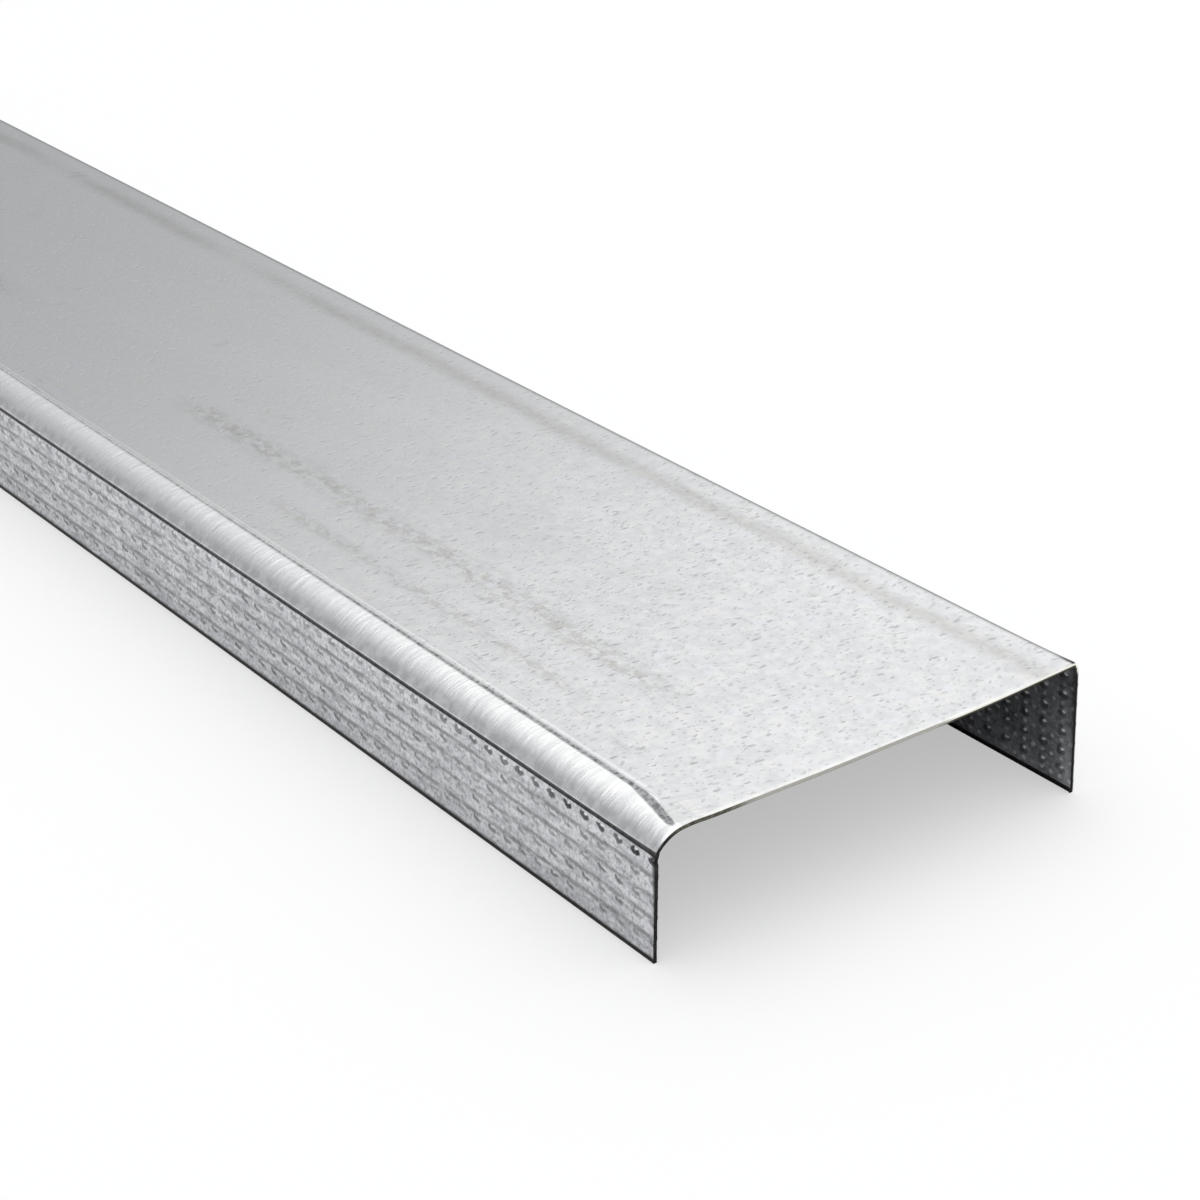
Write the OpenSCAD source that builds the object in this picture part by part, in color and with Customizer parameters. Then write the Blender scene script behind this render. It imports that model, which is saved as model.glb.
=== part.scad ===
// Galvanized steel channel: the track that the studs of a wall stand in.
// One strip of thin sheet, roll formed to a wide web with two short legs.
// A rolled shoulder joins the web to the left leg, and a plain bend joins it to the right leg.
// The piece lies on the edges of its legs with the web up, and its length runs along Y.
// The origin is on the level that it lies on, under the middle of the web.

/* [Stock] */
// Length of the cut piece
stock_l = 3048; // [600:1:6100]
// Clear width between the legs, which takes the end of a stud
stud_w = 92.1; // [41:0.1:153]
// Height from the edges of the legs to the top of the web
leg_h = 25.4; // [15:0.1:64]
// Thickness of the sheet with its zinc coat
sheet_t = 0.5; // [0.4:0.05:1.2]

/* [Rolled shoulder on the left] */
// Width of the rolled shoulder, from the flat of the web to the outside of the leg
shoulder_w = 7.5; // [5:0.1:12]
// Angle at which the shoulder falls away from the web
shoulder_fall = 6; // [2:0.5:15]
// Slope at which the brow meets the knee, measured from the web
brow_slope = 56; // [45:1:80]
// Drop from the top of the web to the knee, where the leg starts
knee_drop = 3.9; // [2.5:0.1:6]
// Inside radius of the crease between the web and the shoulder
crease_r = 2; // [0.5:0.1:4]
// How much of the way between the crease and the knee the round of the brow may take up
brow_share = 0.88; // [0.3:0.01:0.95]
// Inside radius of the knee between the brow and the leg
knee_r = 0.3; // [0.1:0.1:1.5]

/* [Plain bend on the right] */
// Inside radius of the bend between the web and the leg
plain_r = 0.8; // [0.2:0.1:3]

/* [Hidden] */
// Slope of the leg, measured from the web
leg_slope = 90;
// Largest turn between two neighbouring points of a bend
facet_turn = 7.5;
// Half the width over the outsides of the legs
half_w = stud_w / 2 + sheet_t;
// How far in from the leg the lines of the shoulder and of the brow's foot meet
brow_inset = (knee_drop - shoulder_w * tan(shoulder_fall)) / (tan(brow_slope) - tan(shoulder_fall));
// Lengths of those two lines that the crease and the knee leave free
shoulder_free = (shoulder_w - brow_inset) / cos(shoulder_fall) - (crease_r + sheet_t) * tan(shoulder_fall / 2);
foot_free = brow_inset / cos(brow_slope) - (knee_r + sheet_t) * tan((leg_slope - brow_slope) / 2);
// Inside radius of the brow
brow_r = brow_share * min(shoulder_free, foot_free) / tan((brow_slope - shoulder_fall) / 2) - sheet_t;
// Sharp corners that the bends round off, on the outside of the sheet.
// Those of the shoulder are written as on the right, and are mirrored to the left.
crease_corner = [half_w - shoulder_w, leg_h];
brow_corner = [half_w - brow_inset, leg_h - (shoulder_w - brow_inset) * tan(shoulder_fall)];
knee_corner = [half_w, leg_h - knee_drop];
plain_corner = [half_w, leg_h];

// Points along a bend that turns downhill from one slope to a steeper one.
// The depth is counted from the outside of the sheet: 0 is that face, sheet_t the inside.
function bend(corner, slope, next_slope, inside_r, depth) =
    let (
        outside_r = inside_r + sheet_t,
        turn = next_slope - slope,
        middle = slope + turn / 2,
        centre = corner - outside_r / cos(turn / 2) * [sin(middle), cos(middle)],
        facets = ceil(turn / facet_turn)
    )
    [
        for (i = [0 : facets])
            let (angle = slope + i * turn / facets)
            centre + (outside_r - depth) * [sin(angle), cos(angle)]
    ];

// One face of the side with the shoulder, from the flat of the web to the edge of the leg
function shoulder_face(depth) = [
    each bend(crease_corner, 0, shoulder_fall, crease_r, depth),
    each bend(brow_corner, shoulder_fall, brow_slope, brow_r, depth),
    each bend(knee_corner, brow_slope, leg_slope, knee_r, depth),
    [half_w - depth, 0],
];

// One face of the side with the plain bend, from the flat of the web to the edge of the leg
function plain_face(depth) = [
    each bend(plain_corner, 0, leg_slope, plain_r, depth),
    [half_w - depth, 0],
];

function reversed(points) = [for (i = [len(points) - 1 : -1 : 0]) points[i]];
function mirrored(points) = [for (point = points) [-point.x, point.y]];

// Cross-section of the channel, with the edges of the legs on the X axis
module section() {
    polygon([
        each plain_face(0),
        each reversed(plain_face(sheet_t)),
        each mirrored(shoulder_face(sheet_t)),
        each reversed(mirrored(shoulder_face(0))),
    ]);
}

// The rolled channel, web up, with both ends cut square
module channel() {
    color([0.80, 0.81, 0.82])
        rotate([90, 0, 0])
            linear_extrude(height = stock_l, center = true)
                section();
}

channel();
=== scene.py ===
"""A length of galvanized steel channel, rolled from one thin sheet.

A smooth web lies on top. On the left a rolled shoulder falls away from it, over a crease, a round
brow and a knee, to a knurled leg. On the right a plain tight bend turns down to the other knurled
leg. Every piece here is a closed slab of the sheet in its real gauge.
"""

import math

import bpy
import numpy as np
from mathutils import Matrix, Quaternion, Vector


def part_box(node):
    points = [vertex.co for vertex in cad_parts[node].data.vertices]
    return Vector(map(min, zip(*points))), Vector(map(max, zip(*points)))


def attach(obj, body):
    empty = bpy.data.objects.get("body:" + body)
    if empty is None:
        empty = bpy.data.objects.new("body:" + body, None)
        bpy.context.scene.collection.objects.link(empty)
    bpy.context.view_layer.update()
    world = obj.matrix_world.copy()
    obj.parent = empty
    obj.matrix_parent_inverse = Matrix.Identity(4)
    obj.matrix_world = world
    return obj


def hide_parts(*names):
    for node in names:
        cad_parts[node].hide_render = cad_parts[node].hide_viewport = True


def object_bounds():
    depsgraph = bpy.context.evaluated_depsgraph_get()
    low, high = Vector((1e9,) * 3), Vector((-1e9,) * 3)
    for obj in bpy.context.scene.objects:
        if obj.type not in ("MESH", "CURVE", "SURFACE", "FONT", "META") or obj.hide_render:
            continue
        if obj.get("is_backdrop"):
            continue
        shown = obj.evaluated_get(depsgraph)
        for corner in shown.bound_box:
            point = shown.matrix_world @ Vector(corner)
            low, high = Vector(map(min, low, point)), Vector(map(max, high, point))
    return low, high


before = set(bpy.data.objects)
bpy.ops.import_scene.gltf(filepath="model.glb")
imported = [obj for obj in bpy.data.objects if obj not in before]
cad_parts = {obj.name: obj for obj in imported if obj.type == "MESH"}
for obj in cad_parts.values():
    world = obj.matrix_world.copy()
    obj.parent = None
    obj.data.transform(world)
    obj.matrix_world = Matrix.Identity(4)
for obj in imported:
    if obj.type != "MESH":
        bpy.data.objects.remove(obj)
cad_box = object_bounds()

MM = 0.001

# Sizes of the rolled section, in metres.
low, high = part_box("channel")
near_end = low.y
far_end = high.y
half_width = (high.x - low.x) / 2
leg_height = high.z - low.z
sheet = 0.5 * MM
shoulder_width = 7.5 * MM
shoulder_fall = math.radians(6)
brow_slope = math.radians(56)
brow_share = 0.88
knee_drop = 3.9 * MM
crease_radius = 2.0 * MM
knee_radius = 0.3 * MM
plain_radius = 0.8 * MM

# The knurl: rows of small domes pressed out of each leg, with a scored line between rows.
dome_pitch = 4.8 * MM
dome_half_length = 1.2 * MM
dome_half_height = 1.0 * MM
dome_rise = 0.24 * MM
near_leg_pitches = 46
# The knurl on each leg: its start behind the near end and below the top, its rows, their pitch,
# and how far down that pitch each scored line lies.
left_knurl = (0.5 * MM, 5.5 * MM, 5, 4.0 * MM, 0.75)
right_knurl = (2.9 * MM, 2.75 * MM, 6, 3.75 * MM, 0.5)

rng = np.random.default_rng(7)
uneven_domes = rng.uniform(0.75, 1.15, (6, 640))


# ---------------------------------------------------------------------------------------------
# The rolled section
# ---------------------------------------------------------------------------------------------


def corner_arc(corner, slope, next_slope, inside_radius, steps=20):
    """Points, and the slope at each, round one corner on the outside of the sheet."""
    outside_radius = inside_radius + sheet
    middle = (slope + next_slope) / 2
    reach = outside_radius / math.cos((next_slope - slope) / 2)
    centre_out = corner[0] - reach * math.sin(middle)
    centre_up = corner[1] - reach * math.cos(middle)
    slopes = np.linspace(slope, next_slope, steps + 1)
    outs = centre_out + outside_radius * np.sin(slopes)
    ups = centre_up + outside_radius * np.cos(slopes)
    return np.stack([outs, ups, slopes], axis=1)


def with_run(bends):
    """A face from the middle of the web over its bends to the foot, with the run to each point."""
    foot = [half_width, 0, math.radians(90)]
    line = np.concatenate([[[0, leg_height, 0]], *bends, [foot]])
    steps = np.hypot(np.diff(line[:, 0]), np.diff(line[:, 1]))
    run = np.concatenate([[0], np.cumsum(steps)])
    return line, run


def shoulder_face():
    """The left face: crease, brow and knee."""
    upright = math.radians(90)
    inset = knee_drop - shoulder_width * math.tan(shoulder_fall)
    inset /= math.tan(brow_slope) - math.tan(shoulder_fall)
    crease_reach = (crease_radius + sheet) * math.tan(shoulder_fall / 2)
    shoulder_free = (shoulder_width - inset) / math.cos(shoulder_fall) - crease_reach
    knee_reach = (knee_radius + sheet) * math.tan((upright - brow_slope) / 2)
    foot_free = inset / math.cos(brow_slope) - knee_reach
    half_turn = (brow_slope - shoulder_fall) / 2
    brow_radius = brow_share * min(shoulder_free, foot_free) / math.tan(half_turn) - sheet
    brow_drop = (shoulder_width - inset) * math.tan(shoulder_fall)
    crease = (half_width - shoulder_width, leg_height)
    brow = (half_width - inset, leg_height - brow_drop)
    knee = (half_width, leg_height - knee_drop)
    return with_run(
        [
            corner_arc(crease, 0, shoulder_fall, crease_radius),
            corner_arc(brow, shoulder_fall, brow_slope, brow_radius),
            corner_arc(knee, brow_slope, upright, knee_radius),
        ]
    )


def plain_face():
    """The right face: one tight bend."""
    corner = (half_width, leg_height)
    return with_run([corner_arc(corner, 0, math.radians(90), plain_radius)])


left_line, left_run = shoulder_face()
right_line, right_run = plain_face()

# Distances along the outside of the sheet from the middle of the web. Those on the left are
# negative.
crease_run = -(left_run[1] + 0.38 * MM)
knee_run = -left_run[-2]
left_foot_run = -left_run[-1]
bend_run = right_run[1]
bend_end_run = right_run[-2]
right_foot_run = right_run[-1]


def place_on_section(run):
    """Position across, height and outward normal at each distance from the middle of the web."""
    on_left = run < 0
    distance = np.abs(run)
    sign = np.where(on_left, -1.0, 1.0)
    both = []
    for column in range(3):
        left = np.interp(distance, left_run, left_line[:, column])
        right = np.interp(distance, right_run, right_line[:, column])
        both.append(np.where(on_left, left, right))
    out, up, slope = both
    return out * sign, up, np.sin(slope) * sign, np.cos(slope)


# ---------------------------------------------------------------------------------------------
# Relief: how far the outside of the sheet stands proud, in metres
# ---------------------------------------------------------------------------------------------


def bump_shape(distance, reach):
    """A smooth rise that is 1 at its middle and 0 from reach outwards."""
    share = np.clip(np.abs(distance) / reach, 0, 1)
    return (1 - share**2) ** 2


def crease_relief(run, y):
    """The scored line along the crease, drawn over to a rubbed patch just before the end."""
    from_end = y - near_end
    depth = 0.055 + 0.05 * np.exp(-((from_end / (110 * MM)) ** 2))
    curl = np.clip((13 * MM - from_end) / (11 * MM), 0, 1) ** 1.5
    web_side = crease_run - (0.05 + 2.2 * curl) * MM
    splay = np.clip((15.5 * MM - from_end) / (12.5 * MM), 0, 1)
    leg_side = crease_run - (0.95 + 2.4 * splay) * MM
    stop = np.clip((from_end - 0.9 * MM) / (1.0 * MM), 0, 1)
    within = np.minimum(run - leg_side, web_side - run) / (0.36 * MM)
    groove = np.clip(0.5 + 0.5 * within, 0, 1)
    lip = bump_shape(run - web_side - 0.7 * MM, 0.5 * MM) * (1 - splay)
    return (0.02 * lip - depth * groove * stop) * MM


def knee_relief(run, y):
    """The deep scored line under the knee, where the leg turns down."""
    past = knee_run - run
    widened = 0.16 * np.exp(-((y - near_end) / (7 * MM)) ** 2)
    return -0.16 * MM * bump_shape(past, (0.62 + widened) * MM)


def foot_relief(run):
    """The rolled-over slit edge along the foot of each leg."""
    to_foot = np.minimum(run - left_foot_run, right_foot_run - run)
    return -0.09 * MM * np.exp(-((to_foot / (0.25 * MM)) ** 2))


def knurl_relief(drop, y, knurl, lower_rows):
    """The domes in their rows, each with a hollow behind it, and the scored lines between."""
    first_dome, first_row_drop, dome_rows, row_pitch, line_share = knurl
    column = (y - near_end - first_dome) / dome_pitch
    nearest_column = np.rint(column)
    behind = (column - nearest_column) * dome_pitch
    row = (drop - first_row_drop) / row_pitch
    nearest_row = np.clip(np.rint(row), 0, dome_rows - 1)
    below = (row - nearest_row) * row_pitch
    away = np.hypot(behind / dome_half_length, below / dome_half_height)
    strength = np.where(drop < first_row_drop + row_pitch / 2, 1.0, lower_rows)
    uneven = uneven_domes[
        (nearest_row + 0 * nearest_column).astype(int),
        (nearest_column + 0 * nearest_row).astype(int) % uneven_domes.shape[1],
    ]
    domes = dome_rise * bump_shape(away, 1)
    hollow_away = np.hypot((behind - 0.95 * MM) / (1.0 * MM), (below - 0.55 * MM) / (0.8 * MM))
    hollows = 0.13 * MM * bump_shape(hollow_away, 1)
    gap = row - line_share
    off_line = (gap - np.clip(np.rint(gap), 0, dome_rows - 1)) * row_pitch
    score = 0.06 * MM * bump_shape(off_line, 0.6 * MM)
    half_column = column * 2
    off_bead = (half_column - np.rint(half_column)) * dome_pitch / 2
    bead_away = np.hypot(off_bead / (0.6 * MM), off_line / (0.5 * MM))
    beads = 0.1 * MM * bump_shape(bead_away, 1) * lower_rows
    return (domes - hollows) * strength * uneven - score + beads


def web_relief(run, y):
    """Slow waves in the flat of the web, which die out at its sides."""
    across = np.clip(2 * (run - crease_run) / (bend_run - crease_run) - 1, -1, 1)
    hold = (1 - across**2) ** 2
    waves = np.zeros(np.broadcast(run, y).shape)
    for size, length, lean, start in [
        (0.06, 0.31, 5.0, 0.4),
        (0.035, 0.173, -8.0, 2.1),
        (0.02, 0.094, 11.0, 4.0),
    ]:
        waves += size * np.sin(2 * math.pi * (y / length) + lean * across + start)
    return waves * hold * MM


def end_burr(run, y):
    """Shearing lifts a low burr at the cut ends of the legs, and rolls the web over."""
    from_end = np.minimum(y - near_end, far_end - y)
    on_web = np.clip((run - knee_run) / (3 * MM), 0, 1) * (run < bend_end_run)
    return (0.03 - 0.17 * on_web) * MM * np.exp(-((from_end / (0.4 * MM)) ** 2))


def scored_marks(run, y):
    """The local scored lines, darkened by painted shade and dirt, and the crease lip, given a
    painted highlight.
    """
    return crease_relief(run, y) + knee_relief(run, y) + foot_relief(run) + 0 * y


def relief(run, up, y):
    """Everything that stands proud of, or is sunk in, the rolled section."""
    height = scored_marks(run, y) + end_burr(run, y) + web_relief(run, y)
    drop = leg_height - up
    past_knee = np.clip((knee_run - run) / (0.7 * MM), 0, 1)
    past_bend = np.clip((run - bend_end_run) / (0.7 * MM), 0, 1)
    height += knurl_relief(drop, y, left_knurl, lower_rows=0.18) * past_knee
    return height - 1.2 * knurl_relief(drop, y, right_knurl, lower_rows=1.0) * past_bend


def sprung_corner(run, y):
    """How far the right of the near end has sprung up from the shear. The foot stays down."""
    from_end = y - near_end
    across = np.clip((run - 13 * MM) / (bend_run - 13 * MM), 0, 1) ** 1.6
    local = 0.5 * np.exp(-from_end / (8 * MM))
    long = 0.65 * np.exp(-((from_end / (120 * MM)) ** 2))
    return (local + long) * across * MM


def out_of_square(run, up, y):
    """How far the shear left the near end forward at the left of the web, and back at its foot."""
    across = np.clip((run + 46 * MM) / (84 * MM), 0, 1)
    rise = np.clip((run - knee_run) / (13 * MM), 0, 1)
    forward = 0.1 + 0.65 * rise * np.sin(math.pi * np.minimum(1, 0.35 + 0.65 * across))
    past_knee = np.clip((knee_run - run) / (21 * MM), 0, 1)
    forward = np.where(run > bend_run, 0.0, forward - 1.3 * past_knee)
    fade = np.exp(-(((y - near_end) / (14 * MM)) ** 2))
    return -forward * MM * fade + 0 * up


# ---------------------------------------------------------------------------------------------
# One closed slab of sheet
# ---------------------------------------------------------------------------------------------


def add_object(name, data):
    """Puts a mesh, a lamp or a camera in the scene."""
    made = bpy.data.objects.new(name, data)
    bpy.context.scene.collection.objects.link(made)
    return made


def quads(a, b, c, d):
    """Faces with four corners each, from four arrays of corners."""
    return np.stack([a.ravel(), b.ravel(), c.ravel(), d.ravel()], axis=1)


def cells(points):
    """The four corners of every cell in a grid of points."""
    return points[:-1, :-1], points[1:, :-1], points[1:, 1:], points[:-1, 1:]


def roll_sheet(name, runs, ys, finishes):
    """A closed slab of the sheet between two lines of the section and two places along it."""
    run = runs[:, None]
    y = ys[None, :]
    x, z, normal_x, normal_z = (a[:, None] for a in place_on_section(runs))
    height = relief(run, z, y)
    y_grid = y + out_of_square(run, z, y) + 0 * height
    up = z + sprung_corner(run, y) * z / leg_height
    outer = np.stack([x + normal_x * height, y_grid, up + normal_z * height], axis=2)
    from_cut = np.minimum(y - near_end, far_end - y)
    burr = 0.24 * MM * np.exp(-((from_cut / (0.35 * MM)) ** 2))
    under = height - sheet - burr
    inner = np.stack([x + normal_x * under, y_grid, up + normal_z * under], axis=2)
    rows, columns = height.shape
    outer_at = np.arange(rows * columns).reshape(rows, columns)
    inner_at = outer_at + rows * columns
    o00, o10, o11, o01 = cells(outer_at)
    i00, i10, i11, i01 = cells(inner_at)
    faces = [
        quads(o00, o10, o11, o01),
        quads(i00, i01, i11, i10),
        quads(outer_at[0, :-1], outer_at[0, 1:], inner_at[0, 1:], inner_at[0, :-1]),
        quads(outer_at[-1, :-1], inner_at[-1, :-1], inner_at[-1, 1:], outer_at[-1, 1:]),
        quads(outer_at[:-1, 0], inner_at[:-1, 0], inner_at[1:, 0], outer_at[1:, 0]),
        quads(outer_at[:-1, -1], outer_at[1:, -1], inner_at[1:, -1], inner_at[:-1, -1]),
    ]
    finish = np.repeat([0, 1, 2, 2, 2, 2], [len(part) for part in faces])
    corners = flat_layout(runs, ys)
    faces = np.concatenate(faces)
    vertices = np.concatenate([outer.reshape(-1, 3), inner.reshape(-1, 3)])

    mesh = bpy.data.meshes.new(name)
    mesh.vertices.add(len(vertices))
    mesh.vertices.foreach_set("co", vertices.ravel())
    mesh.loops.add(faces.size)
    mesh.loops.foreach_set("vertex_index", faces.ravel())
    mesh.polygons.add(len(faces))
    mesh.polygons.foreach_set("loop_start", np.arange(len(faces)) * 4)
    mesh.polygons.foreach_set("material_index", finish)
    mesh.update(calc_edges=True)
    layout = mesh.uv_layers.new(name="OFBake")
    layout.uv.foreach_set("vector", corners.ravel())
    marks = (scored_marks(run, y) + 0 * height) / MM
    store(mesh, "proud", np.tile(marks.ravel(), 2))
    store(mesh, "depth", np.repeat([0.0, sheet / MM], rows * columns))
    mesh.shade_smooth()
    mesh.set_sharp_from_angle(angle=math.radians(70))
    mesh.validate()
    piece = add_object(name, mesh)
    for material in finishes:
        mesh.materials.append(material)
    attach(piece, "root")
    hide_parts("channel")


def store(mesh, name, values):
    """Keeps one number at every point of the mesh for the finishes to read."""
    attribute = mesh.attributes.new(name, "FLOAT", "POINT")
    attribute.data.foreach_set("value", values)


def flat_layout(runs, ys):
    """Lays the slab's faces out flat, its length folded into rows that fill a square."""
    rows = len(runs)
    width = runs[-1] - runs[0]
    length = ys[-1] - ys[0]
    rim = 1.6 * MM
    space = 1.2 * MM
    inside_share = 0.6
    row_height = (1 + inside_share) * width + 2 * rim + 4 * space
    folds = max(1, round(math.sqrt(length / row_height)))
    middle = (ys[:-1] + ys[1:]) / 2 - ys[0]
    fold = np.minimum((middle / length * folds).astype(int), folds - 1)
    fold_start = np.array([ys[:-1][fold == k][0] for k in range(folds)])[fold]
    left = ys[:-1] - fold_start
    right = ys[1:] - fold_start
    base = fold * (row_height + space)
    across = runs - runs[0]

    def strip(low_v, high_v):
        """Corners in the order (first, near), (next, near), (next, far), (first, far)."""
        lower, upper, near, far, floor = np.broadcast_arrays(
            low_v[:, None], high_v[:, None], left[None, :], right[None, :], base[None, :]
        )
        us = np.stack([near, near, far, far], axis=-1)
        vs = np.stack([lower, upper, upper, lower], axis=-1) + floor[..., None]
        return np.stack([us, vs], axis=-1).reshape(-1, 4, 2)

    inside = inside_share * across
    inside_at = width + space
    start_at = np.array([inside_at + inside_share * width + space])
    end_at = start_at + rim + space
    cap_at = folds * (row_height + space)
    caps = []
    for k in range(2):
        low_v = np.full(rows - 1, cap_at + k * (rim + space))
        us = np.stack([across[:-1], across[1:], across[1:], across[:-1]], axis=-1)
        vs = np.stack([low_v, low_v, low_v + rim, low_v + rim], axis=-1)
        caps.append(np.stack([us, vs], axis=-1))
    backwards = [0, 3, 2, 1]
    corners = np.concatenate(
        [
            strip(across[:-1], across[1:]),
            strip(inside_at + inside[:-1], inside_at + inside[1:])[:, backwards],
            strip(start_at, start_at + rim)[:, backwards],
            strip(end_at, end_at + rim),
            caps[0][:, backwards],
            caps[1],
        ]
    )
    corners += space
    return corners / (corners.max() + space)


# ---------------------------------------------------------------------------------------------
# Node helpers
# ---------------------------------------------------------------------------------------------


class Wire:
    """What comes out of a node. Sums and comparisons with a wire add maths nodes to its tree."""

    def __init__(self, node, socket):
        self.node = node
        self.socket = socket
        self.tree = node.id_data

    def __getitem__(self, output):
        """Another output of the same node."""
        return Wire(self.node, self.node.outputs[output])

    def __abs__(self):
        return maths("ABSOLUTE", self)

    def __round__(self):
        return maths("ROUND", self)

    def __add__(self, other):
        return maths("ADD", self, other)

    def __sub__(self, other):
        return maths("SUBTRACT", self, other)

    def __rsub__(self, other):
        return maths("SUBTRACT", other, self)

    def __mul__(self, other):
        return maths("MULTIPLY", self, other)

    def __truediv__(self, other):
        return maths("DIVIDE", self, other)

    def __pow__(self, other):
        return maths("POWER", self, other)

    def __gt__(self, other):
        return maths("GREATER_THAN", self, other)

    def __lt__(self, other):
        return maths("LESS_THAN", self, other)


def feed(value, socket):
    """Joins a wire to a socket, or sets the socket to a plain value."""
    if isinstance(value, Wire):
        value.tree.links.new(value.socket, socket)
    else:
        socket.default_value = value


def put(kind, links, tree=None, **settings):
    """Adds a node and gives its first output. Links holds what feeds each of its inputs."""
    if tree is None:
        tree = next(value.tree for value in links.values() if isinstance(value, Wire))
    made = tree.nodes.new(kind)
    made.location = (190 * len(tree.nodes), 0)
    for key, value in settings.items():
        setattr(made, key, value)
    for key, value in links.items():
        feed(value, made.inputs[key])
    return Wire(made, next(iter(made.outputs), None))


def maths(operation, *values):
    """One maths node."""
    return put("ShaderNodeMath", dict(enumerate(values)), operation=operation)


def larger(first, second):
    """The larger of two values."""
    return maths("MAXIMUM", first, second)


def smaller(first, second):
    """The smaller of two values."""
    return maths("MINIMUM", first, second)


def ramp(value, start, end, low_value=0.0, high_value=1.0):
    """A smooth step from low_value to high_value as value goes from start to end."""
    links = {0: value, 1: start, 2: end, 3: low_value, 4: high_value}
    return put("ShaderNodeMapRange", links, interpolation_type="SMOOTHSTEP")


def straight_ramp(value, start, end):
    """An even rise from 0 to 1 as value goes from start to end."""
    return put("ShaderNodeMapRange", {0: value, 1: start, 2: end})


def between(share, first, second):
    """A number that goes from first to second."""
    return put("ShaderNodeMix", {0: share, 2: first, 3: second})


def blend(share, first, second):
    """A colour that goes from first to second, each a wire or red, green and blue."""
    first, second = (end if isinstance(end, Wire) else (*end, 1) for end in (first, second))
    return put("ShaderNodeMix", {0: share, 6: first, 7: second}, data_type="RGBA")[2]


def noise(place, scale, detail=2.0, roughness=0.5):
    """A cloudy noise about 0.5, finer as the scale grows."""
    links = {"Vector": place, "Scale": scale, "Detail": detail, "Roughness": roughness}
    return put("ShaderNodeTexNoise", links)


def stretched(place, stretch):
    """The place with each axis multiplied."""
    return put("ShaderNodeVectorMath", {0: place, 1: stretch}, operation="MULTIPLY")


def shifted(place, shift):
    """The place moved along each axis."""
    return put("ShaderNodeVectorMath", {0: place, 1: shift}, operation="ADD")


def turned(place, angle):
    """The place turned about the upright axis."""
    links = {"Vector": place, "Angle": angle}
    return put("ShaderNodeVectorRotate", links, rotation_type="Z_AXIS")


def wobbled(place, scale, amount):
    """The place pushed about by a noise, by up to half the amount each way."""
    push = shifted(noise(place, scale)["Color"], (-0.5, -0.5, -0.5))
    return shifted(place, stretched(push, amount))


def axes_of(place):
    """The x, y and z of a place."""
    axes = put("ShaderNodeSeparateXYZ", {0: place})
    return axes[0], axes[1], axes[2]


def start_group(name, inputs):
    """A shader node group with named inputs, each with its default. Gives its inputs."""
    tree = bpy.data.node_groups.new(name, "ShaderNodeTree")
    for label, value in inputs.items():
        kind = "NodeSocketFloat" if isinstance(value, float) else "NodeSocketVector"
        socket = tree.interface.new_socket(label, in_out="INPUT", socket_type=kind)
        if value is not None:
            socket.default_value = value
    return put("NodeGroupInput", {}, tree)


def end_group(given, outputs):
    """Closes a group with its named float outputs."""
    for label in outputs:
        given.tree.interface.new_socket(label, in_out="OUTPUT", socket_type="NodeSocketFloat")
    put("NodeGroupOutput", outputs)
    return given.tree


def effect(group, **values):
    """Places a shared effect. Input names are given with underscores for spaces."""
    links = {key.replace("_", " "): value for key, value in values.items()}
    return put("ShaderNodeGroup", links, node_tree=group)


# ---------------------------------------------------------------------------------------------
# Effects that the finishes share
# ---------------------------------------------------------------------------------------------


def make_zinc_tone():
    """Cloudy light and dark of a zinc coat: broad clouds and a fine grain, about 0.5."""
    inputs = {"Place": None, "Cloud Scale": 0.03, "Grain Scale": 0.9, "Grain Share": 0.5}
    given = start_group("zinc_tone", inputs)
    clouds = noise(given["Place"], given["Cloud Scale"], 3.0, 0.55)
    grain = noise(given["Place"], given["Grain Scale"], 3.0, 0.62)
    return end_group(given, {"Tone": between(given["Grain Share"], clouds, grain)})


def make_rolling_pits():
    """Short dark dashes that the rolls leave, mostly across the sheet, each its own size."""
    inputs = {
        "Place": None,
        "Stretch": (0.42, 1.0, 1.0),
        "Turn": 0.1,
        "Scale": 0.42,
        "Rarity": 0.4,
        "Size": 0.17,
    }
    given = start_group("rolling_pits", inputs)
    place = turned(wobbled(given["Place"], 0.55, (1.4, 1.4, 0)), given["Turn"])
    links = {"Vector": stretched(place, given["Stretch"]), "Scale": given["Scale"]}
    cellular = put("ShaderNodeTexVoronoi", links, voronoi_dimensions="2D")
    chance = put("ShaderNodeSeparateColor", {0: cellular["Color"]})
    there = (chance[0] > given["Rarity"]) * (chance[2] * 0.65 + 0.35)
    reach = ramp(chance[1], 0.0, 1.0, 0.5, 1.2) * given["Size"]
    return end_group(given, {"Pits": ramp(cellular["Distance"] / reach, 1.0, 0.35) * there})


def make_streaks():
    """Fine parallel streaks where the sheet was drawn over the rolls."""
    inputs = {"Place": None, "Stretch": (0.1, 1.6, 0.1), "Scale": 1.0, "Start": 0.35, "Full": 0.65}
    given = start_group("roll_streaks", inputs)
    lines = noise(stretched(given["Place"], given["Stretch"]), given["Scale"], 4.0, 0.62)
    return end_group(given, {"Streaks": straight_ramp(lines, given["Start"], given["Full"])})


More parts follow.
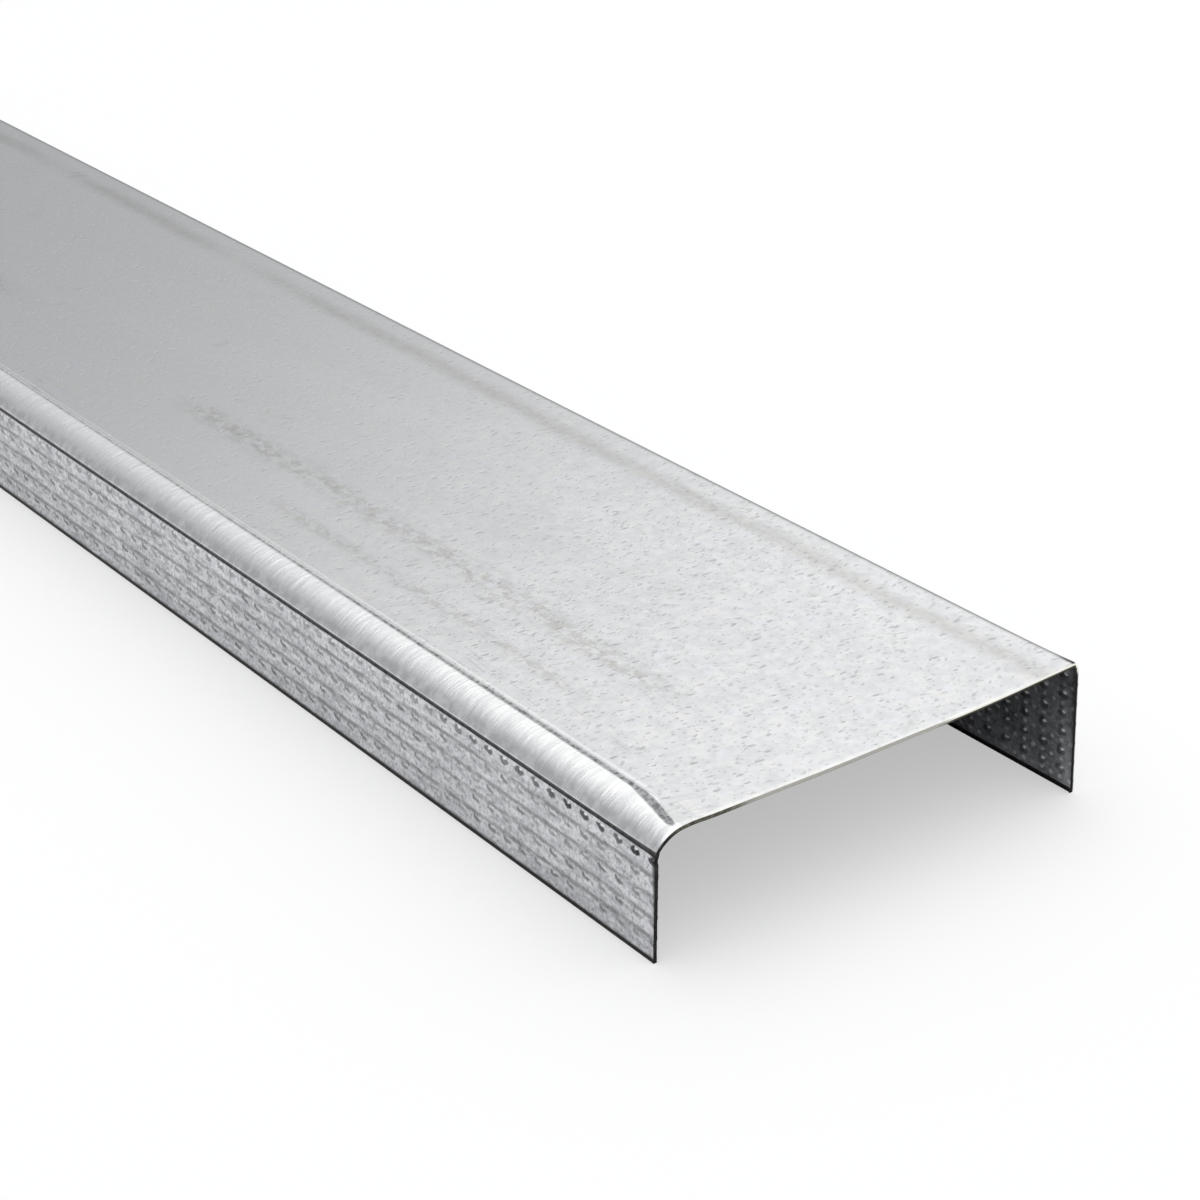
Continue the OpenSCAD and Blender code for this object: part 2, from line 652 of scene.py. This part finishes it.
def make_smudge_band():
    """A broken, dirty band along the sheet, rubbed on by a guide roll."""
    inputs = {
        "Place": None,
        "Line": 0.0,
        "Half Width": 3.0,
        "Wander": 1.5,
        "Break Up": 0.8,
        "From": 0.0,
        "To": 100.0,
    }
    given = start_group("smudge_band", inputs)
    x, y, _ = axes_of(given["Place"])
    along = stretched(given["Place"], (0.0, 1.0, 0.0))

    def along_line(scale):
        """A slow noise that runs along the sheet and differs from line to line."""
        links = {"Vector": along, "W": given["Line"], "Scale": scale, "Detail": 1.0}
        return put("ShaderNodeTexNoise", links, noise_dimensions="4D")

    sway = (along_line(0.03) - 0.5) * given["Wander"]
    off = abs(x - given["Line"] + sway)
    inside = ramp(off / given["Half Width"], 1.0, 0.0)
    within = smaller(y - given["From"], given["To"] - y)
    here = larger(ramp(along_line(0.012), 0.42, 0.62), ramp(within, -12.0, 12.0))
    patches = noise(stretched(given["Place"], (0.8, 0.45, 0.8)), 0.75, 4.0, 0.75)
    kept = 1.0 - ramp(patches, 0.6, 0.42) * given["Break Up"]
    return end_group(given, {"Smudge": inside * kept * here})


def make_grime_and_shade():
    """Painted shade and dirt where the sheet is sunk, broken up by a fine noise."""
    inputs = {"Place": None, "Proud": 0.0, "Clean At": 0.0, "Black At": -0.1, "Break Up": 0.4}
    given = start_group("grime_and_shade_in_hollows", inputs)
    # Darker the deeper the scored line: painted shade, with dirt.
    deep = ramp(given["Proud"], given["Clean At"], given["Black At"])
    specks = ramp(noise(given["Place"], 0.9, 3.0, 0.6), 0.3, 0.62)
    return end_group(given, {"Grime And Shade": deep * (1.0 - specks * given["Break Up"])})


def make_scratches():
    """A few hair scratches, long one way, that come and go."""
    inputs = {
        "Place": None,
        "Turn": 0.0,
        "Stretch": (1.0, 0.03, 1.0),
        "Width": 0.03,
        "Rarity": 0.62,
    }
    given = start_group("hair_scratches", inputs)
    place = turned(given["Place"], given["Turn"])
    lines = noise(stretched(place, given["Stretch"]), 0.55, 1.0, 0.4)
    thin = ramp(abs(lines - 0.5) / given["Width"], 1.0, 0.0)
    rare = straight_ramp(noise(place, 0.07), given["Rarity"], given["Rarity"] + 0.06)
    return end_group(given, {"Scratches": thin * rare})


def soft_ellipse(along, across, half_length, half_height, full):
    """1 in the middle of an ellipse and 0 outside it, with a soft rim out from full."""
    first = along / half_length
    second = across / half_height
    return ramp(first * first + second * second, 1.0, full)


def make_knurl_marks():
    """Marks at the knurl: painted highlights on the domes and beads, painted shade round and below
    the domes, and scored lines.
    """
    inputs = {
        "Place": None,
        "First Dome": 0.0,
        "First Row": 0.0,
        "Dome Pitch": 4.8,
        "Row Pitch": 4.0,
        "Line Share": 0.5,
        "Last Row": 4.0,
    }
    given = start_group("knurl_marks", inputs)
    place = given["Place"]
    _, y, z = axes_of(wobbled(place, 0.8, (0, 0.9, 0.9)))

    def nearest(row):
        """The row of the knurl that a place is nearest to."""
        return smaller(larger(round(row), 0.0), given["Last Row"])

    column = (y - given["First Dome"]) / given["Dome Pitch"]
    nearest_column = round(column)
    behind = (column - nearest_column) * given["Dome Pitch"]
    row = (given["First Row"] - z) / given["Row Pitch"]
    nearest_row = nearest(row)
    below = (row - nearest_row) * given["Row Pitch"]
    spot = put("ShaderNodeCombineXYZ", {0: nearest_column, 1: nearest_row})
    chance = put("ShaderNodeTexWhiteNoise", {"Vector": spot}, noise_dimensions="2D")["Value"]
    # Painted highlight on each of the domes, painted shade round them, and a painted shade stroke
    # below them.
    dome = soft_ellipse(behind + 0.4, below + 0.4, 0.55, 0.38, 0.1)
    dome_shade_mark = soft_ellipse(behind - 0.15, below - 0.25, 1.5, 0.95, 0.45)
    shade_stroke = soft_ellipse(behind - 0.1, below - 0.3, 1.4, 0.6, 0.0)
    shade_tail = soft_ellipse(behind - 1.0, below, 0.55, 0.6, 0.3)
    gap = row - given["Line Share"]
    off_line = (gap - nearest(gap)) * given["Row Pitch"]
    fading = noise(stretched(place, (1.0, 0.35, 1.0)), 0.8)
    half_column = column * 2.0
    off_bead = (half_column - round(half_column)) * (given["Dome Pitch"] * 0.5)
    patchy = noise(shifted(place, (0.0, 13.0, 5.0)), 0.3, 1.0)
    outputs = {
        "Dome": dome,
        "Dome Shade": dome_shade_mark * (1.0 - dome) * (chance * 0.25 + 0.75),
        "Shade Below Domes": larger(shade_stroke, shade_tail) * (chance * 0.5 + 0.32),
        # Painted glints on the beads between the domes.
        "Bead Glint": soft_ellipse(off_bead, off_line, 0.7, 0.55, 0.1) * ramp(patchy, 0.3, 0.5),
        "Line": ramp(abs(off_line), 0.8, 0.1) * ramp(fading, 0.25, 0.6, 0.25, 1.0),
        "Top Row": nearest_row < 0.5,
    }
    return end_group(given, outputs)


zinc_tone = make_zinc_tone()
rolling_pits = make_rolling_pits()
roll_streaks = make_streaks()
smudge_band = make_smudge_band()
grime_and_shade_in_hollows = make_grime_and_shade()
hair_scratches = make_scratches()
knurl_marks = make_knurl_marks()


# ---------------------------------------------------------------------------------------------
# Finishes, with places in millimetres
# ---------------------------------------------------------------------------------------------

near_mm = near_end / MM
side_mm = half_width / MM
top_mm = leg_height / MM


def emptied(owner):
    """Gives a material or a world an empty node tree."""
    owner.use_nodes = True
    owner.node_tree.nodes.clear()
    return owner.node_tree


def start_material(name):
    """A material, and the place in the channel in millimetres with its x, y and z."""
    material = bpy.data.materials.new(name)
    where = put("ShaderNodeTexCoord", {}, emptied(material))
    place = stretched(where["Object"], (1000.0, 1000.0, 1000.0))
    return material, place, *axes_of(place)


def finished(material, colour, roughness, height, strength):
    """Feeds the colour, roughness and bump to the material's metal shader."""
    bump = {"Height": height, "Strength": strength, "Distance": 0.0001}
    metal = {
        "Metallic": 1.0,
        "Base Color": colour,
        "Roughness": roughness,
        "Normal": put("ShaderNodeBump", bump),
    }
    put("ShaderNodeOutputMaterial", {0: put("ShaderNodeBsdfPrincipled", metal)})
    return material


def read_stored(tree, name):
    """A number kept at every point of the mesh."""
    return put("ShaderNodeAttribute", {}, tree, attribute_name=name)["Fac"]


def knurl_of_leg(place, x):
    """The knurl's marks, set where the domes of the leg on that side are."""
    on_right = x > 0.0

    def by_side(left, right):
        """The first value on the left leg and the second on the right one."""
        return between(on_right, left, right)

    return effect(
        knurl_marks,
        Place=place,
        First_Dome=by_side((near_end + left_knurl[0]) / MM, (near_end + right_knurl[0]) / MM),
        First_Row=by_side((leg_height - left_knurl[1]) / MM, (leg_height - right_knurl[1]) / MM),
        Dome_Pitch=dome_pitch / MM,
        Row_Pitch=by_side(left_knurl[3] / MM, right_knurl[3] / MM),
        Line_Share=by_side(left_knurl[4], right_knurl[4]),
        Last_Row=by_side(left_knurl[2] - 1.0, right_knurl[2] - 1.0),
    )


def web_finish():
    """The smooth web: a pale zinc coat, pitted and smudged by the rolls, with painted highlights
    and shade at its edges.
    """
    material, place, x, y, _ = start_material("galvanized_web")
    tone = effect(zinc_tone, Place=place, Cloud_Scale=0.045, Grain_Scale=0.6, Grain_Share=0.7)
    dimples = noise(shifted(place, (0.0, 0.0, 17.0)), 0.3, 1.0, 0.4)
    tone = tone + ramp(dimples, 0.35, 0.65, -0.06, 0.06)
    cool = noise(shifted(place, (31.0, 7.0, 0.0)), 0.28)
    pale = blend(ramp(cool, 0.35, 0.65), (0.718, 0.718, 0.706), (0.698, 0.704, 0.728))
    colour = blend(ramp(tone, 0.3, 0.7), (0.632, 0.636, 0.648), pale)
    pits = effect(rolling_pits, Place=place)
    slanted = effect(rolling_pits, Place=place, Turn=-0.45, Scale=0.5, Rarity=0.55, Size=0.19)
    specks = effect(
        rolling_pits,
        Place=shifted(place, (3.7, 11.3, 0.0)),
        Stretch=(0.7, 1.0, 1.0),
        Scale=0.8,
        Rarity=0.4,
        Size=0.26,
    )
    marks = larger(larger(pits, slanted * 0.8), specks * 0.7)
    colour = blend(marks * 0.5, colour, (0.35, 0.35, 0.335))
    bands = []
    for line, half_band, start, end, broken, share in [
        (-16.0, 5.5, 35.0, 210.0, 0.95, 0.6),
        (-28.5, 3.0, 45.0, 115.0, 0.9, 0.5),
        (38.3, 4.2, 30.0, 260.0, 0.35, 0.5),
    ]:
        band = effect(
            smudge_band,
            Place=place,
            Line=line,
            Half_Width=half_band,
            Wander=3.0,
            Break_Up=broken,
            From=near_mm + start,
            To=near_mm + end,
        )
        bands.append(band * share)
    smudges = larger(larger(bands[0], bands[1]), bands[2])
    colour = blend(smudges, colour, (0.41, 0.398, 0.37))
    crease_x = place_on_section(np.array([crease_run]))[0][0] / MM
    by_crease = ramp(x, crease_x + 9.0, crease_x + 2.0)
    long_marks = effect(hair_scratches, Place=place, Turn=0.05, Rarity=0.55) * by_crease
    cross_marks = effect(
        hair_scratches, Place=place, Turn=1.9, Stretch=(1.0, 0.08, 1.0), Rarity=0.63
    )
    scratches = larger(long_marks, cross_marks * 0.6)
    colour = blend(scratches * 0.55, colour, (0.3, 0.295, 0.27))
    proud = read_stored(place.tree, "proud")
    # Painted highlight on the lip beside the crease.
    colour = blend(ramp(proud, 0.004, 0.02) * 0.6, colour, (0.86, 0.86, 0.84))
    # Painted shade and dirt in the crease groove.
    grime_and_shade = effect(grime_and_shade_in_hollows, Place=place, Proud=proud, Clean_At=-0.006, Black_At=-0.075)
    colour = blend(grime_and_shade, colour, (0.1, 0.105, 0.095))
    # Painted shade along the outside of the right bend.
    bend_shade = ramp(x, side_mm - 2.4, side_mm - 0.9)
    colour = blend(bend_shade * bend_shade * 0.8, colour, (0.2, 0.2, 0.2))
    # Painted highlight along the near cut end, where the end rolls over.
    cut_end_painted_light = ramp(y, near_mm + 0.3, near_mm - 0.4) * ramp(x, 12.0, 18.0, 0.3, 0.8)
    colour = blend(cut_end_painted_light, colour, (0.87, 0.865, 0.81))
    # Painted shade at the near end of the right bend.
    corner = ramp(x, side_mm - 1.9, side_mm - 1.3) * ramp(y, near_mm + 5.0, near_mm + 1.0)
    colour = blend(corner, colour, (0.04, 0.04, 0.04))
    roughness = marks * 0.12 + ramp(tone, 0.3, 0.7, 0.335, 0.285)
    return finished(material, colour, roughness, marks * -1.0 + tone * 0.45, 0.3)


def shoulder_finish():
    """The rolled shoulder: streaks straight across it, a painted highlight by the crease, painted
    shade over the brow.
    """
    material, place, x, y, _ = start_material("rolled_shoulder")
    leg_x = -side_mm
    tone = effect(zinc_tone, Place=place, Cloud_Scale=0.08, Grain_Scale=1.2, Grain_Share=0.4)
    fine = effect(roll_streaks, Place=place, Stretch=(0.14, 1.5, 0.14), Scale=1.5)
    broad = effect(roll_streaks, Place=place, Stretch=(0.22, 1.0, 0.22), Scale=0.5)
    streaks = fine * 0.5 + broad * 0.5
    mottle = streaks * 0.65 + tone * 0.35
    lightness = ramp(mottle, 0.2, 0.8)
    # Lit and shaded colours of one coat: a painted highlight by the crease, painted shade over the
    # brow.
    bright = blend(lightness, (0.84, 0.84, 0.845), (0.93, 0.93, 0.925))
    shaded_side = blend(lightness, (0.79, 0.795, 0.81), (0.95, 0.95, 0.955))
    patches = noise(place, 0.45, 3.0, 0.6)
    # Painted shade by the knee, mottled.
    knee_shade = ramp(x, leg_x + 2.2, leg_x + 0.7) * ramp(patches, 0.32, 0.6)
    shaded_side = blend(knee_shade * 0.7, shaded_side, (0.6, 0.595, 0.61))
    # The edge between painted highlight and painted shade, broken up by the streaks, moves towards
    # the crease along the channel.
    highlight_edge = (patches - 0.5) * 3.0 + (broad * 1.6 + fine * 0.8) + x
    highlight_edge = highlight_edge + ramp(y, near_mm + 5.0, near_mm + 140.0, 0.0, -3.6)
    colour = blend(ramp(highlight_edge, leg_x + 4.7, leg_x + 3.6), bright, shaded_side)
    on_crease = ramp(x, leg_x + 1.0, leg_x + 3.0)
    # Painted shade and dirt in the crease and knee grooves, near black by the knee.
    grime_and_shade = effect(
        grime_and_shade_in_hollows,
        Place=place,
        Proud=read_stored(place.tree, "proud"),
        Clean_At=-0.012,
        Black_At=-0.085,
        Break_Up=on_crease * 0.3 + 0.07,
    )
    black = blend(on_crease, (0.025, 0.025, 0.024), (0.112, 0.122, 0.13))
    colour = blend(grime_and_shade, colour, black)
    beside = ramp(y, near_mm + 13.0, near_mm + 2.0) ** 1.5
    web_from = beside * -2.2 + (leg_x + 7.5)
    past_line = ramp(x - web_from, -0.1, 0.3) * beside
    colour = blend(ramp(past_line, 0.0, 0.1) * 0.8, colour, (0.62, 0.625, 0.62))
    roughness = ramp(mottle, 0.2, 0.8, 0.4, 0.28)
    return finished(material, colour, roughness, streaks + broad * 0.8, 0.3)


def leg_finish():
    """The knurled leg: light zinc, dark scored lines, painted highlights and shade at the domes,
    painted shade at the cut end and foot.
    """
    material, place, x, y, z = start_material("knurled_leg")
    tone = effect(zinc_tone, Place=place, Cloud_Scale=0.12, Grain_Scale=1.1, Grain_Share=0.7)
    streaks = effect(roll_streaks, Place=place, Stretch=(1.0, 0.22, 1.0), Scale=1.0)
    mottle = streaks * 0.25 + tone * 0.75
    colour = blend(ramp(mottle, 0.25, 0.75), (0.46, 0.465, 0.485), (0.8, 0.8, 0.82))
    specks = ramp(noise(place, 1.25, 2.0, 0.55), 0.46, 0.36)
    colour = blend(specks * 0.45, colour, (0.2, 0.2, 0.205))
    knurl = knurl_of_leg(place, x)
    top_row = knurl["Top Row"]
    # Painted highlight on the domes, stronger on the top row.
    rubbed = knurl["Dome"] * (top_row * 0.3 + 0.2)
    colour = blend(rubbed, colour, (0.9, 0.9, 0.9))
    colour = blend(knurl["Line"] * 0.62, colour, (0.13, 0.132, 0.13))
    # Painted shade round the domes of the top row, fading along the channel, and below the domes
    # of the lower rows.
    hollows = knurl["Dome Shade"] * ramp(y, near_mm + 85.0, near_mm + 20.0, 0.4, 1.0)
    marks = between(top_row, knurl["Shade Below Domes"], hollows)
    dark = blend(top_row, (0.13, 0.13, 0.135), (0.04, 0.04, 0.045))
    colour = blend(marks, colour, dark)
    # Painted shade along the near cut end, and a painted contact shadow along the foot that also
    # stands for its dark slit edge.
    cut_end_painted_light = ramp(y, near_mm + 1.2, near_mm + 0.2) * 0.9
    colour = blend(larger(ramp(z, 1.2, 0.7), cut_end_painted_light), colour, (0.02, 0.02, 0.02))
    # Painted shade and dirt in the knee and foot grooves.
    grime_and_shade = effect(
        grime_and_shade_in_hollows,
        Place=place,
        Proud=read_stored(place.tree, "proud"),
        Clean_At=-0.012,
        Black_At=-0.07,
        Break_Up=0.07,
    )
    colour = blend(grime_and_shade, colour, (0.025, 0.025, 0.024))
    roughness = rubbed * -0.08 + ramp(mottle, 0.25, 0.75, 0.5, 0.42)
    return finished(material, colour, roughness, mottle, 0.4)


def shaded_inside_finish():
    """The inside of the sheet: the same coat, set darker as painted shade, with painted bounce
    light, glints and shade.
    """
    material, place, x, y, z = start_material("channel_inside_shaded")
    tone = effect(zinc_tone, Place=place, Cloud_Scale=0.07, Grain_Scale=1.1, Grain_Share=0.55)
    streaks = effect(roll_streaks, Place=place, Stretch=(1.0, 0.1, 1.0))
    mottle = streaks * 0.12 + tone * 0.88
    # The coat's colours are set darker than the outside's: painted shade.
    colour = blend(ramp(mottle, 0.25, 0.75), (0.13, 0.134, 0.145), (0.48, 0.485, 0.5))
    pits = effect(rolling_pits, Place=place, Scale=0.5)
    colour = blend(pits * 0.4, colour, (0.2, 0.2, 0.2))
    low_down = ramp(z, top_mm - 9.0, top_mm - 17.0)
    # Painted bounce light: lighter low down near the near end.
    bounce_light = ramp(y, near_mm + 6.0, near_mm + 1.0) * low_down * tone
    colour = blend(bounce_light, colour, (0.62, 0.62, 0.64))
    knurl = knurl_of_leg(place, x)
    uneven = noise(shifted(place, (0.0, 5.0, 9.0)), 0.24, 2.0, 0.6)
    below_web = ramp(z, top_mm - 0.8, top_mm - 1.2) * ramp(uneven, 0.36, 0.56, 0.45, 1.0)
    # Painted shade round the domes, and painted glints on the domes and beads, kept clear of the
    # top.
    colour = blend(knurl["Dome Shade"] * below_web * 0.75, colour, (0.05, 0.05, 0.05))
    knurl_glints = larger(knurl["Dome"], knurl["Bead Glint"] * 0.6) * below_web
    colour = blend(knurl_glints, colour, (0.97, 0.97, 0.97))
    # Painted contact shadow along the foot, which also stands for its dark slit edge.
    colour = blend(ramp(z, 1.1, 0.75), colour, (0.02, 0.02, 0.02))
    roughness = knurl_glints * -0.12 + ramp(mottle, 0.25, 0.75, 0.5, 0.4)
    return finished(material, colour, roughness, mottle, 0.3)


def edge_finish():
    """The sheared edge: a bright burnished band on the right, dark broken steel elsewhere."""
    material, place, x, _, z = start_material("sheared_edge")
    streaks = effect(
        roll_streaks, Place=place, Stretch=(1.0, 1.0, 1.0), Scale=1.4, Start=0.4, Full=0.75
    )
    legs = blend(streaks, (0.015, 0.015, 0.014), (0.06, 0.059, 0.055))
    webs = blend(streaks, (0.08, 0.077, 0.06), (0.22, 0.21, 0.17))
    webs = blend(ramp(x, -33.0, -25.0), webs, (0.48, 0.47, 0.43))
    on_web = ramp(z, top_mm - 2.0, top_mm - 0.5)
    on_right = ramp(x, 12.0, 18.0)
    olive = blend(on_web, (0.01, 0.01, 0.01), (0.07, 0.07, 0.05))
    dark = blend(on_right, blend(on_web, legs, webs), olive)
    depth = on_web * -0.16 + read_stored(place.tree, "depth")
    burnished = ramp(depth, 0.14, 0.06) * on_right
    rubbed = blend(on_web, (0.3, 0.3, 0.3), (0.95, 0.94, 0.88))
    colour = blend(burnished, dark, rubbed)
    return finished(material, colour, ramp(streaks, 0.0, 1.0, 0.55, 0.42), streaks, 0.4)


web_coat = web_finish()
shoulder_coat = shoulder_finish()
leg_coat = leg_finish()
shaded_inside_coat = shaded_inside_finish()
cut_steel = edge_finish()


# ---------------------------------------------------------------------------------------------
# The pieces
# ---------------------------------------------------------------------------------------------


def joined(*parts):
    """Sorted places, with any that are closer than a hundredth of a millimetre made one."""
    places = np.sort(np.concatenate([np.atleast_1d(part) for part in parts]))
    kept = [places[0]]
    for place in places[1:-1]:
        if place - kept[-1] > 0.01 * MM and places[-1] - place > 0.01 * MM:
            kept.append(place)
    return np.array([*kept, places[-1]])


def spread(start, end, step):
    """Even places from start to end, about a step apart."""
    return np.linspace(start, end, max(2, round(abs(end - start) / step) + 1))


near_zone = near_end + near_leg_pitches * dome_pitch
from_end = np.array([0.0, 0.1, 0.2, 0.32, 0.5, 0.8]) * MM

# Places along the channel: close together at the ends and over the near part, wide beyond.
smooth_ys = joined(
    near_end + from_end,
    spread(near_end + 0.8 * MM, near_end + 20 * MM, 0.8 * MM),
    spread(near_end + 20 * MM, near_zone, 4.0 * MM),
    spread(near_zone, far_end - 0.8 * MM, 9.0 * MM),
    far_end - from_end,
)
steps_a_dome = 12
near_leg_ys = joined(
    near_end + from_end[:-1],
    near_end + np.arange(2, near_leg_pitches * steps_a_dome + 1) * dome_pitch / steps_a_dome,
)
far_domes = near_zone + np.arange(int((far_end - near_zone) / dome_pitch)) * dome_pitch
far_leg_ys = joined(
    far_domes,
    far_domes + dome_half_length,
    far_domes + dome_pitch - dome_half_length,
    far_end - from_end,
)

# Places across the section.
beside_line = np.array([0, 0.12, 0.24, 0.36, 0.5, 0.7, 0.95, 1.3, 1.8]) * MM
beside_bend = np.array([0, 0.03, 0.1]) * MM
web_runs = joined(
    crease_run + beside_line,
    spread(crease_run + 1.8 * MM, bend_run - 1.0 * MM, 2.4 * MM),
    bend_run - beside_bend,
)
shoulder_runs = joined(
    knee_run + beside_line[:5],
    spread(knee_run + 0.5 * MM, crease_run - 3.8 * MM, 0.3 * MM),
    spread(crease_run - 3.8 * MM, crease_run, 0.13 * MM),
)
bend_runs = joined(
    bend_run + beside_bend,
    spread(bend_run + 0.1 * MM, bend_end_run - 0.1 * MM, 0.14 * MM),
    bend_end_run - beside_bend,
)


def leg_drops(first, knurl, per_row, foot_steps):
    """Drops from the top of the web to the lines of a leg's mesh, set round its rows."""
    _, first_row_drop, dome_rows, row_pitch, _ = knurl
    centres = first_row_drop + np.arange(dome_rows)[:, None] * row_pitch
    lines = (centres + np.array(per_row)[None, :] * MM).ravel()
    lines = lines[lines < leg_height - max(foot_steps) * MM - 0.1 * MM]
    drops = joined(first, lines, leg_height - np.array(foot_steps) * MM)
    return drops[drops >= first[0]]


fine_row = [-1.92, -1.62, -1.35, -1.05, -0.75, -0.45, -0.15, 0.15, 0.45, 0.75, 1.05, 1.35, 1.62]
coarse_row = [-1.92, -1.0, 0.0, 1.0]
near_foot = [0.0, 0.15, 0.35, 0.7, 1.6]
far_foot = [0.0, 0.5]
near_bend_steps = [0.0, 0.03, 0.1, 0.25]
far_bend_steps = [0.0, 0.1]
left_top = leg_height - place_on_section(np.array([knee_run]))[1][0]
right_top = leg_height - place_on_section(np.array([bend_end_run]))[1][0]
left_start = left_top + np.array([0.0, 0.12, 0.24, 0.36, 0.55]) * MM

roll_sheet("web", web_runs, smooth_ys, [web_coat, shaded_inside_coat, cut_steel])
roll_sheet("left_shoulder", shoulder_runs, smooth_ys, [shoulder_coat, shaded_inside_coat, cut_steel])
roll_sheet("right_bend", bend_runs, smooth_ys, [web_coat, shaded_inside_coat, cut_steel])
for zone, ys, per_row, foot_steps, bend_steps in (
    ("near", near_leg_ys, fine_row, near_foot, near_bend_steps),
    ("far", far_leg_ys, coarse_row, far_foot, far_bend_steps),
):
    right_start = right_top + np.array(bend_steps) * MM
    left_drops = leg_drops(left_start, left_knurl, per_row, foot_steps)
    right_drops = leg_drops(right_start, right_knurl, per_row, foot_steps)
    left_runs = knee_run - (left_drops - left_top)
    right_runs = bend_end_run + (right_drops - right_top)
    coats = [leg_coat, shaded_inside_coat, cut_steel]
    roll_sheet("left_leg_" + zone, np.sort(left_runs), ys, coats)
    roll_sheet("right_leg_" + zone, right_runs, ys, coats)


# ---------------------------------------------------------------------------------------------
# Studio: camera, light panel, world and floor
# ---------------------------------------------------------------------------------------------


def set_camera():
    """Stands left of the near end, looking along and down at the top."""
    turn = math.radians(34.7)
    fall = math.radians(25.9)
    lean = math.radians(-1.85)
    level = math.cos(fall)
    aim = Vector((math.sin(turn) * level, math.cos(turn) * level, -math.sin(fall)))
    top_left_corner = Vector((-half_width, near_end, leg_height))
    data = bpy.data.cameras.new("camera")
    data.sensor_width = 36.0
    data.lens = 87.3
    data.clip_start = 0.01
    data.clip_end = 200.0
    back_from_corner = Vector((-0.23525, -0.3266, 0.2372))
    camera = add_object("camera", data)
    camera.location = top_left_corner + back_from_corner
    camera.rotation_mode = "QUATERNION"
    camera.rotation_quaternion = aim.to_track_quat("-Z", "Y") @ Quaternion((0, 0, 1), lean)
    bpy.context.scene.camera = camera


def hang_panel():
    """A wide soft light panel that hangs level and shines down. Only its light is seen."""
    width = 12.7
    length = 7.95
    brightness = 0.84
    turn = math.radians(30)
    ahead = Vector((math.cos(turn), math.sin(turn), 0))
    aside = Vector((-math.sin(turn), math.cos(turn), 0))
    drop_to_web = 3.0
    over_near_end = Vector((-half_width, near_end, leg_height + drop_to_web))
    middle_ahead = 2.65
    middle_aside = -0.825
    data = bpy.data.lights.new("overhead_panel", "AREA")
    data.shape = "RECTANGLE"
    data.size = width
    data.size_y = length
    data.energy = brightness * math.pi * width * length
    data.color = (1.0, 0.995, 0.985)
    panel = add_object("overhead_panel", data)
    panel.location = over_near_end + ahead * middle_ahead + aside * middle_aside
    panel.rotation_euler = (0, 0, turn)
    panel.visible_camera = False


def lay_floor():
    """A plain pale floor that reaches past every view and stays pale far from the channel."""
    material = bpy.data.materials.new("pale_floor")
    tree = emptied(material)
    place = put("ShaderNodeTexCoord", {}, tree)["Object"]
    shade = blend(noise(place, 1.5), (0.945, 0.945, 0.945), (0.955, 0.955, 0.955))
    matt = put("ShaderNodeBsdfDiffuse", {"Color": shade})
    past = put("ShaderNodeVectorMath", {0: place}, operation="ABSOLUTE")
    past = shifted(past, (-half_width, -far_end, -1.0))
    past = put("ShaderNodeVectorMath", {0: past, 1: (0, 0, 0)}, operation="MAXIMUM")
    reach = put("ShaderNodeVectorMath", {0: past}, operation="LENGTH")["Value"]
    ray = put("ShaderNodeLightPath", {}, tree)
    seen = larger(ray["Is Camera Ray"], ray["Is Glossy Ray"])
    seen = larger(seen, ray["Is Transmission Ray"])
    share = larger(ramp(reach, 0.5, 2.5) * seen, ray["Is Camera Ray"] * 0.45)
    glow = put("ShaderNodeEmission", {"Color": (1.0, 1.0, 1.0, 1), "Strength": 1.0}, tree)
    put("ShaderNodeOutputMaterial", {0: put("ShaderNodeMixShader", {0: share, 1: matt, 2: glow})})
    far = 60.0
    level = low.z - 0.02 * MM
    mesh = bpy.data.meshes.new("floor")
    corners = [(-far, -far), (far, -far), (far, far), (-far, far)]
    mesh.from_pydata([(x, y, level) for x, y in corners], [], [(0, 1, 2, 3)])
    mesh.materials.append(material)
    floor = add_object("floor", mesh)
    floor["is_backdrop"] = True


def light_world():
    """An even, slightly cool light from all round."""
    world = bpy.data.worlds.new("studio")
    bpy.context.scene.world = world
    links = {"Color": (0.96, 0.98, 1.0, 1), "Strength": 0.47}
    put("ShaderNodeOutputWorld", {0: put("ShaderNodeBackground", links, emptied(world))})


set_camera()
light_world()
hang_panel()
lay_floor()

scene = bpy.context.scene
scene.view_settings.view_transform = "Standard"

model_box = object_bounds()
boxes = {
    "cad": [list(corner) for corner in cad_box],
    "visual": [list(corner) for corner in model_box],
}
